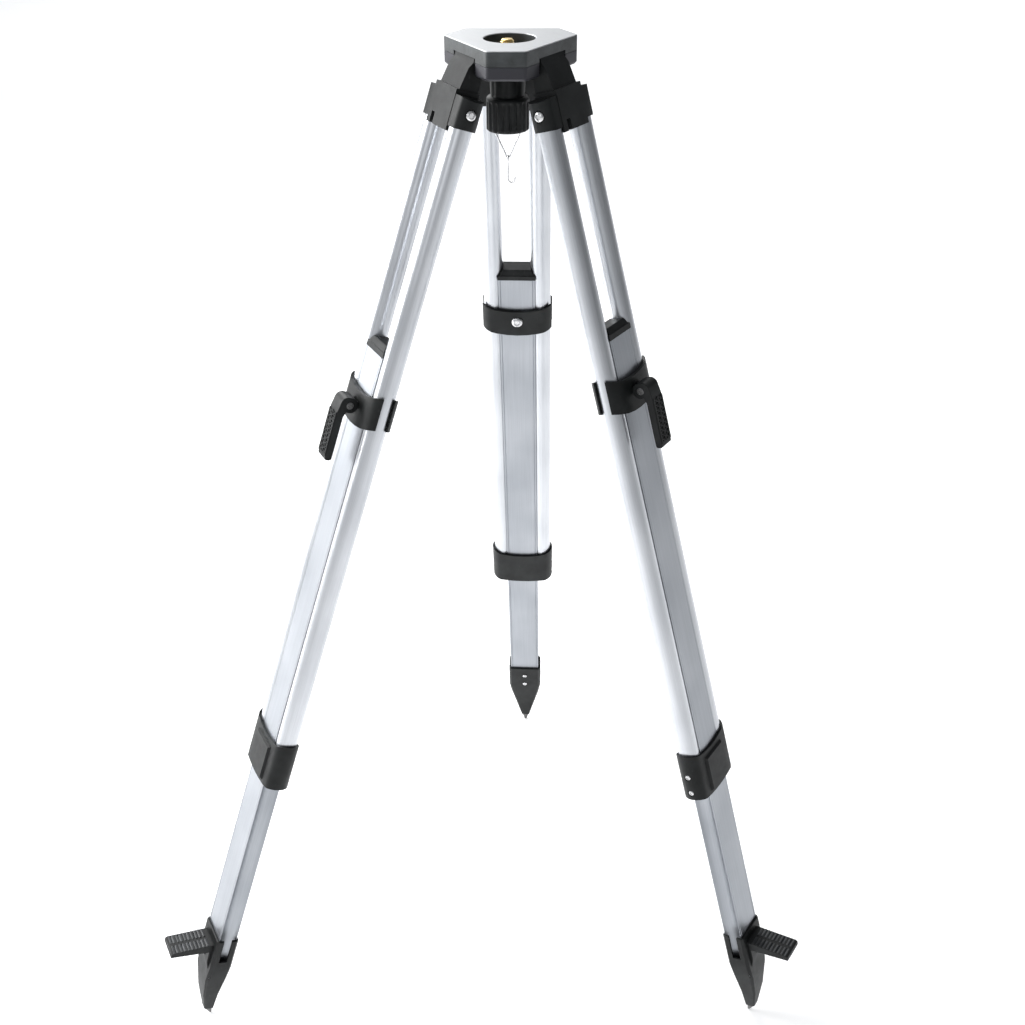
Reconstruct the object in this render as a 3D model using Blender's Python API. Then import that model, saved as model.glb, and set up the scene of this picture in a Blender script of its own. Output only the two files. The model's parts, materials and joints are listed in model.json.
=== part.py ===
"""Light aluminium surveyor's tripod with quick-clamp legs, as separate jointed pieces.

The tripod stands on z = 0. Each leg is modelled in its own frame, whose origin is on the hinge pin
and whose axes are x outward from the leg's face, y along the hinge pin and z up along the leg.
Lengths are metres.
"""

import math

import bmesh
import bpy
from mathutils import Matrix, Vector

# Driving dimensions
HINGE_HEIGHT = 1.345  # hinge pins above the ground
HINGE_RADIUS = 0.0500  # hinge pins from the tripod's axis
LEGS = {  # azimuth of each leg about +Z and its splay from the vertical, in degrees
    "left": (210.0, 19.7),
    "right": (330.0, 15.9),
    "rear": (90.0, 17.4),
}
GAP = 0.0003  # clearance between faces that rest on each other
ROUND = 20  # sides of a tube
SMALL = 10  # sides of a screw or a pin

# Head
LONG_SIDE = 0.112
SHORT_SIDE = 0.044
TOP_LAYER = 0.0170
LOWER_LAYER = 0.0150
HEAD_HOLE_RADIUS = 0.0300
SCREW_HOLE_RADIUS = 0.0130
NOTCH_WIDTH = 0.0560
NOTCH_TOP = 0.0025  # top of the leg notch above the parting plane at the head's side
PIN_RADIUS = 0.0035
PIN_LENGTH = 0.0700

# Fixing screw and plumb hook
THREAD_RADIUS = 0.00794  # 5/8 inch
SCREW_OFFSET = -0.0025  # the screw rests a little off the middle of its hole
FLANGE_RADIUS = 0.0220
NECK_RADIUS = 0.0215
KNOB_RADIUS = 0.0258
KNOB_BOTTOM = -0.0870  # below the parting plane
KNOB_GRIP_TOP = -0.0475
FLUTES = 18
BAIL_WIRE = 0.0011
HOOK_WIRE = 0.0009
BAIL_TOP = -0.0835
BAIL_BOTTOM = -0.1195
HOOK_BOTTOM = -0.1500

# Leg tubes and fitting
TUBE_RADIUS = 0.0140
TUBE_BORE = 0.0125
TUBE_HALF_PITCH = 0.0326
LEG_OFFSET = 0.0043  # tubes outward of the hinge pin
BARREL_RADIUS = 0.0080
TONGUE_HALF_WIDTH = 0.0250
FITTING_TOP = -0.034
FITTING_BOTTOM = -0.079
SOCKET_RADIUS = 0.0170
TUBE_TOP = -0.0440
FITTING_BOLT_Z = -0.0570

# Lower collar
COLLAR_TOP = -0.918
COLLAR_BOTTOM = -0.983
COLLAR_SCREWS = (-0.942, -0.967)

# Inner leg
PROFILE_HALF_WIDTH = 0.0252
PROFILE_HALF_DEPTH = 0.0130
PROFILE_WALL = 0.0022
CHANNEL_RADIUS = TUBE_RADIUS + 0.0005
CAP_TO_TIP = 1.080
CAP_HEIGHT = 0.015
PROFILE_ABOVE_TIP = 0.092
CLAMP_BELOW_CAP = 0.0845
CLAMP_HEIGHT = 0.042
CLAMP_RADIUS = 0.0178
CLAMP_FACE = 0.0200  # outer clamp shell's face, outward of the tubes' plane
LEVER_PIVOT = 0.0314  # lever's axis, outward of the tubes' plane
LEVER_LENGTH = 0.075
LEVER_HALF_WIDTH = 0.0122
LEVER_RIBS = 9

# Foot, in heights above the steel tip's point
TIP_OFFSET = -0.0165  # steel point, inward of the tubes' plane
TIP_RADIUS = 0.0010
SHOE_END_OFFSET = -0.0100
SHOE_TOP = 0.163
SHOE_TAPER = 0.106
SHOE_BOTTOM = 0.014
SHOE_WALL = 0.0034
SHOE_SLOT_LOW = 0.124
PEDAL_TOP = 0.150
PEDAL_REACH = 0.0770
PEDAL_HALF_WIDTH = 0.0185
PEDAL_DROP = 0.010
TREAD_GROOVES = 5
FOOT_SCREWS = (0.141, 0.116)

COLOURS = {  # base colour, roughness, metallic
    "machined_aluminium": ((0.86, 0.87, 0.88), 0.30, 1.0),
    "anodised_aluminium": ((0.80, 0.81, 0.83), 0.34, 1.0),
    "painted_casting": ((0.035, 0.037, 0.042), 0.42, 0.2),
    "black_plastic": ((0.022, 0.022, 0.024), 0.48, 0.0),
    "zinc_steel": ((0.62, 0.62, 0.61), 0.28, 1.0),
    "brass": ((0.72, 0.52, 0.22), 0.30, 1.0),
}


def clear_scene():
    for obj in list(bpy.data.objects):
        bpy.data.objects.remove(obj, do_unlink=True)


def material(name):
    found = bpy.data.materials.get(name)
    if found:
        return found
    colour, roughness, metallic = COLOURS[name]
    made = bpy.data.materials.new(name)
    made.use_nodes = True
    shader = made.node_tree.nodes["Principled BSDF"]
    shader.inputs["Base Color"].default_value = (*colour, 1.0)
    shader.inputs["Roughness"].default_value = roughness
    shader.inputs["Metallic"].default_value = metallic
    made.diffuse_color = (*colour, 1.0)
    return made


def empty(name, parent=None, location=(0, 0, 0), rotation=(0, 0, 0)):
    obj = bpy.data.objects.new(name, None)
    obj.empty_display_size = 0.02
    bpy.context.scene.collection.objects.link(obj)
    obj.parent = parent
    obj.location = location
    obj.rotation_euler = rotation
    return obj


def from_bmesh(name, bm, slot=None, parent=None, location=(0, 0, 0)):
    bmesh.ops.recalc_face_normals(bm, faces=bm.faces)
    mesh = bpy.data.meshes.new(name)
    bm.to_mesh(mesh)
    bm.free()
    mesh.shade_smooth()
    mesh.set_sharp_from_angle(angle=math.radians(32))
    obj = bpy.data.objects.new(name, mesh)
    bpy.context.scene.collection.objects.link(obj)
    obj.parent = parent
    obj.location = location
    if slot:
        mesh.materials.append(material(slot))
    else:
        obj.hide_render = True
        obj.display_type = "WIRE"
    return obj


def arc(centre, radius, start, end, steps):
    """Points on an arc from start to end, in degrees, both ends included."""
    angles = [math.radians(start + (end - start) * i / steps) for i in range(steps + 1)]
    return [(centre[0] + radius * math.cos(a), centre[1] + radius * math.sin(a)) for a in angles]


def circle(centre, radius, steps):
    """Regular polygon with no corner on the centre's own axes."""
    half_step = 180 / steps
    return arc(centre, radius, half_step, 360 - half_step, steps - 1)


def rectangle(low, high):
    return [(low[0], low[1]), (high[0], low[1]), (high[0], high[1]), (low[0], high[1])]


AXES = {  # maps an outline's two coordinates and the extrusion's height to x, y, z
    "z": lambda u, v, h: (u, v, h),
    "y": lambda u, v, h: (u, h, v),
    "x": lambda u, v, h: (h, u, v),
}


def prism_bmesh(outline, low, high, axis="z"):
    """Extruded outline; low and high are heights, or functions of an outline point."""
    bm = bmesh.new()
    rings = [[bm.verts.new((*p, level)) for p in outline] for level in (0.0, 1.0)]
    count = len(outline)
    for i in range(count):
        j = (i + 1) % count
        bm.faces.new((rings[0][i], rings[0][j], rings[1][j], rings[1][i]))
    caps = [bm.faces.new(rings[0][::-1]), bm.faces.new(rings[1])]
    if callable(low) or callable(high):
        bm.normal_update()
        bmesh.ops.triangulate(bm, faces=caps)
    for ring, level in zip(rings, (low, high)):
        for vert, p in zip(ring, outline):
            vert.co = AXES[axis](*p, level(p) if callable(level) else level)
    return bm


def prism(name, outline, low, high, axis="z", **place):
    return from_bmesh(name, prism_bmesh(outline, low, high, axis), **place)


def loft(name, sections, **place):
    """Solid through rings of equal point count, closed by flat ends."""
    bm = bmesh.new()
    rings = [[bm.verts.new(p) for p in section] for section in sections]
    count = len(rings[0])
    for lower, upper in zip(rings, rings[1:]):
        for i in range(count):
            j = (i + 1) % count
            bm.faces.new((lower[i], lower[j], upper[j], upper[i]))
    bm.faces.new(rings[0][::-1])
    bm.faces.new(rings[-1])
    return from_bmesh(name, bm, **place)


def turned(name, profile, steps, axis="z", centre=(0.0, 0.0), **place):
    """Solid of revolution through (radius, height) points, from one end to the other."""
    sections = []
    for radius, height in profile:
        ring = circle(centre, radius, steps)
        sections.append([AXES[axis](*p, height) for p in ring])
    return loft(name, sections, **place)


def wire(name, points, radius, slot, parent=None, location=(0, 0, 0)):
    curve = bpy.data.curves.new(name, "CURVE")
    curve.dimensions = "3D"
    curve.bevel_depth = radius
    curve.bevel_resolution = 1
    curve.use_fill_caps = True
    curve.materials.append(material(slot))
    spline = curve.splines.new("POLY")
    spline.points.add(len(points) - 1)
    for target, point in zip(spline.points, points):
        target.co = (*point, 1.0)
    obj = bpy.data.objects.new(name, curve)
    bpy.context.scene.collection.objects.link(obj)
    obj.parent = parent
    obj.location = location
    return obj


def boolean(obj, operation, others):
    """Cuts others from obj, or joins them to it, and removes the helpers."""
    for other in others:
        other.parent = obj.parent
        other.location = obj.location
        step = obj.modifiers.new(operation.lower(), "BOOLEAN")
        step.operation = operation
        step.solver = "EXACT"
        step.object = other
    bake(obj)
    for other in others:
        bpy.data.objects.remove(other, do_unlink=True)
    return obj


def bake(obj):
    bpy.context.view_layer.update()
    graph = bpy.context.evaluated_depsgraph_get()
    mesh = bpy.data.meshes.new_from_object(obj.evaluated_get(graph))
    obj.modifiers.clear()
    obj.data = mesh
    mesh.shade_smooth()
    mesh.set_sharp_from_angle(angle=math.radians(32))


def cut(obj, *cutters):
    return boolean(obj, "DIFFERENCE", cutters)


def join(obj, *others):
    return boolean(obj, "UNION", others)


# Head


def head_outline(inset=0.0):
    """Hexagon with three long sides, across each leg, and three short sides between the legs."""
    half = SHORT_SIDE / 2
    apothem = (2 * LONG_SIDE + SHORT_SIDE) / (2 * math.sqrt(3))
    reach = math.hypot(apothem, half)
    spread = math.degrees(math.atan2(half, apothem))
    scale = (reach - inset) / reach
    points = []
    for corner in (270, 30, 150):
        for side in (-spread, spread):
            angle = math.radians(corner + side)
            points.append((reach * scale * math.cos(angle), reach * scale * math.sin(angle)))
    return points


def rounded(outline, radius, steps=3):
    """The outline with each corner replaced by an arc that is tangent to both sides."""
    points = []
    count = len(outline)
    for i, corner in enumerate(outline):
        here = Vector(corner)
        before = (Vector(outline[i - 1]) - here).normalized()
        after = (Vector(outline[(i + 1) % count]) - here).normalized()
        half_angle = before.angle(after) / 2
        centre = here + (before + after).normalized() * radius / math.sin(half_angle)
        start = here + before * radius / math.tan(half_angle) - centre
        end = here + after * radius / math.tan(half_angle) - centre
        turn = start.angle_signed(end)
        for k in range(steps + 1):
            swung = Matrix.Rotation(-turn * k / steps, 2) @ start
            points.append(tuple(centre + swung))
    return points


def place_at_hinge(obj, azimuth):
    """Turns geometry built at a hinge on +X to the hinge at this azimuth."""
    turn = Matrix.Rotation(math.radians(azimuth), 4, "Z")
    obj.data.transform(turn @ Matrix.Translation((HINGE_RADIUS, 0, 0)))
    return obj


def hinge_cutters(lower_layer):
    half = NOTCH_WIDTH / 2
    inner = -(BARREL_RADIUS + 0.0010)
    cutters = []
    for azimuth, _ in LEGS.values():
        groove = prism("groove", circle((0, 0), PIN_RADIUS + GAP, SMALL),
                       -PIN_LENGTH / 2 - 0.001, PIN_LENGTH / 2 + 0.001, "y")
        if lower_layer:
            slot = prism("slot", rectangle((inner, -half), (0.05, half)), -0.05, 0.001)
            cutters += [place_at_hinge(groove, azimuth), place_at_hinge(slot, azimuth)]
        else:
            barrel = prism("barrel", circle((0, 0), BARREL_RADIUS + 0.0010, 20), -half, half, "y")
            slot = prism("slot", rectangle((0.0, 0.0005 - half), (0.05, half - 0.0005)), -0.01, NOTCH_TOP)
            cutters += [place_at_hinge(cutter, azimuth) for cutter in (groove, barrel, slot)]
    return cutters


def head(base):
    outer = rounded(head_outline(), 0.006)
    inner = rounded(head_outline(0.0008), 0.006)
    top = TOP_LAYER
    sections = [[(x, y, 0.0) for x, y in outer],
                [(x, y, top - 0.0008) for x, y in outer],
                [(x, y, top) for x, y in inner]]
    plate = loft("head_plate", sections, slot="machined_aluminium", parent=base)
    hole = turned("hole", [(HEAD_HOLE_RADIUS, -0.01), (HEAD_HOLE_RADIUS, top - 0.0008),
                           (HEAD_HOLE_RADIUS + 0.0016, top + 0.0008)], 40)
    cut(plate, hole, *hinge_cutters(lower_layer=False))

    low = -LOWER_LAYER - GAP
    sections = [[(x, y, low) for x, y in rounded(head_outline(0.0025), 0.006)],
                [(x, y, low + 0.0025) for x, y in outer],
                [(x, y, -GAP) for x, y in outer]]
    counter = loft("counter_plate", sections, slot="painted_casting", parent=base)
    hole = prism("hole", circle((0, 0), SCREW_HOLE_RADIUS, 24), -0.05, 0.01)
    cut(counter, hole, *hinge_cutters(lower_layer=True))


def fixing_screw(base):
    """Brass screw, its knob and the plumb hook; heights are from the head's parting plane."""
    shift = empty("screw_shift", base, (SCREW_OFFSET, 0, 0))
    spin = empty("screw_turn", shift)
    chamfer = 0.0012
    profile = [
        (0.0072, KNOB_GRIP_TOP), (0.0072, -LOWER_LAYER - 0.004),
        (0.0080, -LOWER_LAYER - 0.003), (0.0080, 0.0),
        (FLANGE_RADIUS, 0.0), (FLANGE_RADIUS, 0.0030), (0.0110, 0.0030),
        (0.0110, 0.0050), (THREAD_RADIUS, 0.0050),
        (THREAD_RADIUS, TOP_LAYER - chamfer - 0.001), (THREAD_RADIUS - chamfer, TOP_LAYER - 0.001),
    ]
    turned("fixing_screw", profile, 20, slot="brass", parent=spin)

    top = -LOWER_LAYER - 3 * GAP
    profile = [(NECK_RADIUS - 0.002, top), (NECK_RADIUS, top - 0.002),
               (NECK_RADIUS - 0.0015, KNOB_GRIP_TOP - 0.0005), (NECK_RADIUS - 0.0015, KNOB_GRIP_TOP - 0.004)]
    knob = turned("fixing_knob", profile, 36, slot="black_plastic", parent=spin)
    rim = KNOB_RADIUS - 0.0008
    grip = turned("grip", [(rim - 0.0025, KNOB_GRIP_TOP), (rim + 0.0008, KNOB_GRIP_TOP - 0.0025),
                           (rim + 0.0008, KNOB_BOTTOM + 0.0020), (rim - 0.0012, KNOB_BOTTOM)], 36)
    join(knob, grip)
    cutters = []
    for i in range(FLUTES):
        angle = 2 * math.pi * (i + 0.5) / FLUTES
        centre = ((KNOB_RADIUS + 0.0012) * math.cos(angle), (KNOB_RADIUS + 0.0012) * math.sin(angle))
        cutters.append(prism("flute", circle(centre, 0.0026, 6), KNOB_BOTTOM - 0.01, KNOB_GRIP_TOP - 0.0045))
    cutters.append(prism("socket", circle((0, 0), 0.0083, 20), KNOB_GRIP_TOP - 0.001, 0.01))
    cutters.append(prism("recess", circle((0, 0), 0.0190, 24), KNOB_BOTTOM - 0.01, KNOB_BOTTOM + 0.008))
    cutters.append(prism("bail_holes", circle((0, BAIL_TOP), BAIL_WIRE + 0.0004, 12), -0.0222, 0.0222, "x"))
    for side in (-1, 1):
        cutters.append(prism("flat", rectangle((-0.02, side * 0.0245), (0.02, side * 0.0185)),
                             KNOB_GRIP_TOP + 0.0005, top - 0.006))
    cut(knob, *cutters)

    swing = empty("bail_swing", spin, (0, 0, BAIL_TOP))
    side = bail_side(BAIL_BOTTOM - BAIL_TOP)
    mirrored = [(-x, y, z) for x, y, z in reversed(side)]
    wire("plumb_bail", side + mirrored, BAIL_WIRE, "zinc_steel", swing)
    eye_swing = empty("hook_swing", swing, (0, 0, BAIL_BOTTOM - BAIL_TOP))
    wire("plumb_hook", hook_route(), HOOK_WIRE, "zinc_steel", eye_swing)


def bail_side(bottom):
    """Half of the bail: in from its pivot hole, down one leg of the V and round to the middle."""
    points = [(-0.0212, 0, 0), (-0.0182, 0, 0), (-0.0164, 0, -0.0004), (-0.0154, 0, -0.0018)]
    points += [(-0.0120, 0, -0.0080), (-0.0070, 0, -0.0180), (-0.0036, 0, -0.0262)]
    bend = 0.0028
    points += [(bend * math.cos(math.radians(a)), 0, bottom + bend + bend * math.sin(math.radians(a)))
               for a in (180, 210, 240, 270 - 8)]
    return points


def hook_route():
    """Eye round the bail's foot, straight shank, then the J of the hook; the origin is the bail's foot."""
    eye = 0.0032
    eye_centre = BAIL_WIRE + HOOK_WIRE + 0.0001 - eye
    points = [(0, eye * math.cos(math.radians(a)), eye_centre + eye * math.sin(math.radians(a)))
              for a in range(-130, 181, 26)]
    points += [(0, -eye * 0.9, eye_centre - 0.0022), (0, -0.0008, eye_centre - 0.0052)]
    points += [(0, 0, eye_centre - 0.0080)]
    bend = 0.0040
    low = HOOK_BOTTOM - BAIL_BOTTOM
    points += [(0.0, 0, low + bend + 0.004)]
    points += [(bend - bend * math.cos(math.radians(a)), 0, low + bend - bend * math.sin(math.radians(a)))
               for a in range(0, 181, 30)]
    points += [(2 * bend + 0.0005, 0, low + bend + 0.003)]
    return points


# Legs


def tube_pair(radius, low, high, steps=ROUND):
    return [prism("round", circle((LEG_OFFSET, side * TUBE_HALF_PITCH), radius, steps), low, high)
            for side in (-1, 1)]


def stadium(radius, depth, steps=4):
    """Outline round both tubes, flattened to depth on its outer and inner faces."""
    tilt = math.degrees(math.asin(min(1.0, depth / radius)))
    right = arc((LEG_OFFSET, TUBE_HALF_PITCH), radius, 90 - tilt, 90 + tilt, steps * 2)
    left = arc((LEG_OFFSET, -TUBE_HALF_PITCH), radius, 270 - tilt, 270 + tilt, steps * 2)
    return right + left


def leg_fitting(leg, splay):
    name = leg + "_leg_fitting"
    outer = LEG_OFFSET + TUBE_RADIUS + 0.0010
    inner = LEG_OFFSET - TUBE_RADIUS - 0.0002
    side = arc((0, 0), BARREL_RADIUS, 200, -20, 8)
    side += [(0.0115, -0.010), (outer - 0.004, FITTING_TOP + 0.002), (outer - 0.002, FITTING_TOP - 0.006)]
    side += [(inner, FITTING_TOP - 0.006), (inner + 0.001, FITTING_TOP)]
    fitting = prism(name, side, -TONGUE_HALF_WIDTH, TONGUE_HALF_WIDTH, "y",
                    slot="black_plastic", parent=splay)
    slope = 0.10
    shoulder = prism("shoulder", stadium(SOCKET_RADIUS, TUBE_RADIUS + 0.0010),
                     lambda p: FITTING_BOTTOM + slope * abs(p[1]),
                     lambda p: FITTING_TOP - 0.003 - 0.25 * max(0.0, abs(p[1]) - 0.030))
    block = prism("block", rectangle((inner - 0.0003, -0.0270), (outer + 0.0006, 0.0270)),
                  FITTING_BOTTOM - 0.002, FITTING_TOP)
    join(fitting, shoulder, block)
    bolt = prism("bolt_hole", circle((LEG_OFFSET, FITTING_BOLT_Z), 0.0034, SMALL), -0.08, 0.08, "y")
    heads = [prism("head_seat", circle((LEG_OFFSET, FITTING_BOLT_Z), 0.0072, 16),
                   *sorted((end * 0.0472, end * 0.06)), "y") for end in (-1, 1)]
    pin = prism("pin_hole", circle((0, 0), PIN_RADIUS + GAP, SMALL), -0.05, 0.05, "y")
    slit = prism("slit", rectangle((outer - 0.006, -0.0180), (outer + 0.01, -0.0100)),
                 FITTING_BOTTOM - 0.01, FITTING_BOTTOM + 0.011)
    hollow = prism("hollow", rectangle((inner - 0.01, -0.0155), (outer - 0.006, 0.0155)),
                   FITTING_BOTTOM - 0.01, FITTING_BOLT_Z - 0.007)
    cut(fitting, *tube_pair(TUBE_RADIUS + GAP, -0.2, TUBE_TOP + GAP), bolt, *heads, pin, slit, hollow)


def dome_ends(radius, height, steps=2):
    """Profile points of a dome, from its rim to near its crown."""
    return [(radius * math.cos(math.radians(a)), height * math.sin(math.radians(a)))
            for a in [i * 80 / steps for i in range(steps + 1)]]


def fitting_bolt(leg, splay):
    seat = 0.0475
    dome = dome_ends(0.0064, 0.0036)
    profile = [(r, -seat - h) for r, h in reversed(dome)] + [(0.0030, -seat), (0.0030, seat)]
    profile += [(r, seat + h) for r, h in dome]
    turned(leg + "_fitting_bolt", profile, 16, "y", (LEG_OFFSET, FITTING_BOLT_Z),
           slot="zinc_steel", parent=splay)


def tubes(leg, splay):
    bottom = COLLAR_BOTTOM + 0.0035
    for side, tag in ((-1, "a"), (1, "b")):
        centre = (LEG_OFFSET, side * TUBE_HALF_PITCH)
        tube = prism(f"{leg}_tube_{tag}", circle(centre, TUBE_RADIUS, ROUND), bottom, TUBE_TOP,
                     slot="anodised_aluminium", parent=splay)
        bore = prism("bore", circle(centre, TUBE_BORE, ROUND), bottom - 0.01, TUBE_TOP + 0.01)
        across = prism("across", circle((LEG_OFFSET, FITTING_BOLT_Z), 0.0034, SMALL), -0.08, 0.08, "y")
        cutters = [bore, across]
        if side == -1:
            cutters += [prism("screw", circle((LEG_OFFSET, z), 0.0023, 12), -0.08, -0.0360, "y")
                        for z in COLLAR_SCREWS]
        cut(tube, *cutters)


def window(extra, low, high):
    """Space that the inner profile slides in."""
    x = LEG_OFFSET
    depth = PROFILE_HALF_DEPTH + extra
    width = PROFILE_HALF_WIDTH + extra
    return prism("window", rectangle((x - depth, -width), (x + depth, width)), low, high)


def lower_collar(leg, splay):
    face = TUBE_RADIUS + 0.0028
    curve = 0.010
    half = TUBE_HALF_PITCH + SOCKET_RADIUS

    def top(p):
        return COLLAR_TOP + curve * (p[1] / half) ** 2

    def bottom(p):
        return COLLAR_BOTTOM + 0.6 * curve * (p[1] / half) ** 2

    outline = subdivided(stadium(SOCKET_RADIUS + 0.0005, face), 0.014)
    collar = prism(f"{leg}_lower_collar", outline, bottom, top, slot="black_plastic", parent=splay)
    outer = LEG_OFFSET + face
    sections = []
    for rise, inset in ((-0.002, 0.0), (0.0001, 0.0), (0.0032, 0.0025)):
        low = (-0.0240 + inset, COLLAR_BOTTOM + 0.006 + inset)
        high = (0.0240 - inset, COLLAR_TOP - 0.006 - inset)
        sections.append([(outer + rise, y, z) for y, z in rectangle(low, high)])
    pad = loft("pad", sections)
    join(collar, pad)
    screws = [prism("screw", circle((LEG_OFFSET, z), 0.0023, 12), -0.08, -0.030, "y")
              for z in COLLAR_SCREWS]
    seats = [prism("seat", circle((LEG_OFFSET, z), 0.0048, SMALL), -0.08, -0.0478, "y")
             for z in COLLAR_SCREWS]
    cut(collar, *tube_pair(TUBE_RADIUS + GAP, COLLAR_BOTTOM + 0.0035 - GAP, COLLAR_TOP + 0.05),
        window(0.0006, COLLAR_BOTTOM - 0.02, COLLAR_TOP + 0.05), *screws, *seats)
    for z, tag in zip(COLLAR_SCREWS, ("upper", "lower")):
        dome = dome_ends(0.0043, 0.0020)
        profile = [(r, -0.0481 - h) for r, h in reversed(dome)] + [(0.0020, -0.0481), (0.0020, -0.0390)]
        turned(f"{leg}_collar_screw_{tag}", profile, SMALL, "y", (LEG_OFFSET, z),
               slot="zinc_steel", parent=splay)


def subdivided(outline, longest):
    """The outline with extra points on any side longer than longest."""
    points = []
    for i, start in enumerate(outline):
        end = outline[(i + 1) % len(outline)]
        pieces = max(1, math.ceil(math.dist(start, end) / longest))
        points += [(start[0] + (end[0] - start[0]) * k / pieces,
                    start[1] + (end[1] - start[1]) * k / pieces) for k in range(pieces)]
    return points


def inner_leg_frame(leg, splay, angle):
    """Empty at the cap's top: the steel tip's point is CAP_TO_TIP below it, on the ground."""
    outward = LEG_OFFSET + TIP_OFFSET - TIP_RADIUS
    reach = (HINGE_HEIGHT + outward * math.sin(angle)) / math.cos(angle)
    return empty(leg + "_slide", splay, (0, 0, CAP_TO_TIP - reach))


def channels(low, high):
    return tube_pair(CHANNEL_RADIUS, low, high)


def bolt_hole(z, radius=0.0043):
    return prism("bolt_hole", circle((0, z), radius, 16), -0.05, 0.08, "x")


def inner_profile(leg, slide):
    low = -CAP_TO_TIP + PROFILE_ABOVE_TIP
    high = -CAP_HEIGHT
    x = LEG_OFFSET
    outline = rectangle((x - PROFILE_HALF_DEPTH, -PROFILE_HALF_WIDTH),
                        (x + PROFILE_HALF_DEPTH, PROFILE_HALF_WIDTH))
    profile = prism(leg + "_inner_profile", outline, low, high, slot="anodised_aluminium", parent=slide)
    inside = PROFILE_HALF_DEPTH - PROFILE_WALL
    web = TUBE_HALF_PITCH - CHANNEL_RADIUS - PROFILE_WALL
    bore = prism("bore", rectangle((x - inside, -web), (x + inside, web)), low - 0.01, high + 0.01)
    screws = [prism("screw", circle((0, z - CAP_TO_TIP), 0.0022, 12), -0.05, x, "x") for z in FOOT_SCREWS]
    cut(profile, *channels(low - 0.01, high + 0.01), bore, bolt_hole(-CLAMP_BELOW_CAP), *screws)


def end_cap(leg, slide):
    x = LEG_OFFSET
    sections = []
    flange = -CAP_HEIGHT + 0.007
    for z, narrow, thin in ((-CAP_HEIGHT + GAP, 0.0, 0.0), (flange, 0.0, 0.0),
                            (flange + 0.0005, 0.0026, 0.0012), (-0.002, 0.0048, 0.0030),
                            (0.0, 0.0064, 0.0044)):
        width = PROFILE_HALF_WIDTH + 0.0008 - narrow
        depth = PROFILE_HALF_DEPTH + 0.0008 - thin
        sections.append([(u, v, z) for u, v in rectangle((x - depth, -width), (x + depth, width))])
    cap = loft(leg + "_end_cap", sections, slot="black_plastic", parent=slide)
    inside = PROFILE_HALF_DEPTH - PROFILE_WALL - GAP
    web = TUBE_HALF_PITCH - CHANNEL_RADIUS - PROFILE_WALL - GAP
    plug = prism("plug", rectangle((x - inside, -web), (x + inside, web)),
                 -CAP_HEIGHT - 0.012, -CAP_HEIGHT + 0.003)
    join(cap, plug)
    cut(cap, *channels(-0.1, 0.1))


def shell_outline(sign, face, edge):
    """Half shell over both tubes and the profile: outer boundary, then the inner one back.

    sign is 1 for the outer shell and -1 for the inner one; edge is how far its sides stop
    short of the tubes' plane.
    """
    bore = TUBE_RADIUS + 0.0004
    inner_face = PROFILE_HALF_DEPTH + 0.0007
    start = math.degrees(math.asin(edge / CLAMP_RADIUS))
    outer = [(r, t) for r, t in arc((0, 0), CLAMP_RADIUS, start, 90, 5)]
    outer = [(TUBE_HALF_PITCH + y, x) for y, x in outer[:-1]]
    outer += [(TUBE_HALF_PITCH - 0.004, face)]
    low = math.degrees(math.asin(edge / bore))
    high = 180 - math.degrees(math.asin(inner_face / bore))
    inner = [(TUBE_HALF_PITCH + y, x) for y, x in arc((0, 0), bore, high, low, 6)]
    half = inner + outer
    mirrored = [(-y, x) for y, x in reversed(half)]
    return [(LEG_OFFSET + sign * x, y) for y, x in half + mirrored]


def clamp(leg, slide):
    centre = -CLAMP_BELOW_CAP
    half = TUBE_HALF_PITCH + CLAMP_RADIUS
    smile = 0.010

    def edge(offset):
        return lambda p: centre + offset + smile * ((p[1] / half) ** 2 - 0.35)

    outline = subdivided(shell_outline(1, CLAMP_FACE, 0.0078), 0.016)
    outer = prism(leg + "_clamp_outer", outline, edge(-CLAMP_HEIGHT / 2), edge(CLAMP_HEIGHT / 2),
                  slot="black_plastic", parent=slide)
    face = LEG_OFFSET + CLAMP_FACE
    boss = turned("boss", [(0.0110, face - 0.002), (0.0098, face + 0.0003)], 16, "x", (0, centre))
    join(outer, boss)
    cut(outer, bolt_hole(centre))

    outline = subdivided(shell_outline(-1, CLAMP_RADIUS, 0.0078), 0.016)
    inner = prism(leg + "_clamp_inner", outline, edge(-CLAMP_HEIGHT / 2), edge(CLAMP_HEIGHT / 2),
                  slot="black_plastic", parent=slide)
    cut(inner, bolt_hole(centre))

    inner_face = LEG_OFFSET - CLAMP_RADIUS - GAP
    pivot = LEG_OFFSET + LEVER_PIVOT
    dome = dome_ends(0.0080, 0.0040)
    profile = [(r, inner_face - h) for r, h in reversed(dome)]
    profile += [(0.0040, inner_face), (0.0040, pivot)]
    bolt = turned(leg + "_clamp_bolt", profile, 16, "x", (0, centre), slot="zinc_steel", parent=slide)
    barrel = prism("barrel", circle((pivot, centre), 0.0048, 16), -0.0125, 0.0125, "y")
    join(bolt, barrel)
    lever(leg, slide, pivot, centre)


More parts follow.
